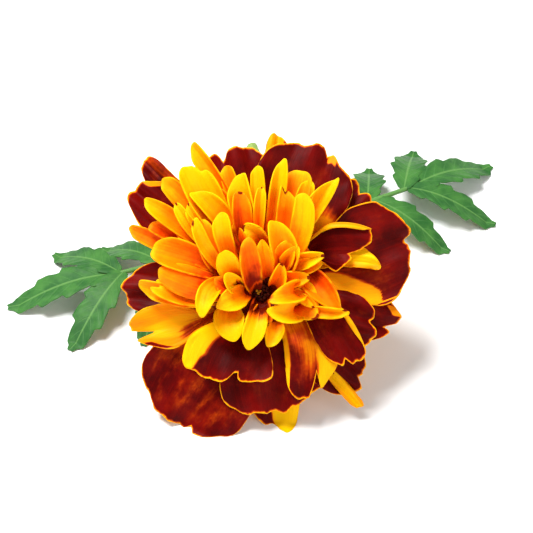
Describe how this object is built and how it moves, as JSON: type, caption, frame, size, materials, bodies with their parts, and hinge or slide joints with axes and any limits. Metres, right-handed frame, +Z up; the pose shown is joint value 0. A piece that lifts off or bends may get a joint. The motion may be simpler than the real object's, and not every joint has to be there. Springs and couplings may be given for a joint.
{
  "type": "marigold flower",
  "caption": "Picked marigold lying on its stalk: dark red rays with gold edges under a crest of orange spoon-shaped florets, with a ribbed cup and a pair of toothed leaves.",
  "frame": {"origin": "on the surface it lies on, under the middle of the whole flower's box", "axes": "+Z up, -Y the way the head looks, +X to the right of someone who faces the head"},
  "size_m": [0.1026, 0.0824, 0.0436],
  "materials": {
    "ray_petal": "velvety petal, dark red with a thin gold edge",
    "crest_petal": "soft satin petal, orange at the base and golden at the tip",
    "eye": "matt dark brown",
    "cup": "waxy ribbed green with a purple-brown flush",
    "stalk": "waxy pale green with fine ridges",
    "leaf": "matt green leaf with paler veins"
  },
  "bodies": {
    "root": {"ray_florets": "ray_petal", "crest_florets": "crest_petal", "eye_florets": "eye", "involucre": "cup", "stalk": "stalk", "leaf_left": "leaf", "leaf_right": "leaf"}
  },
  "joints": []
}
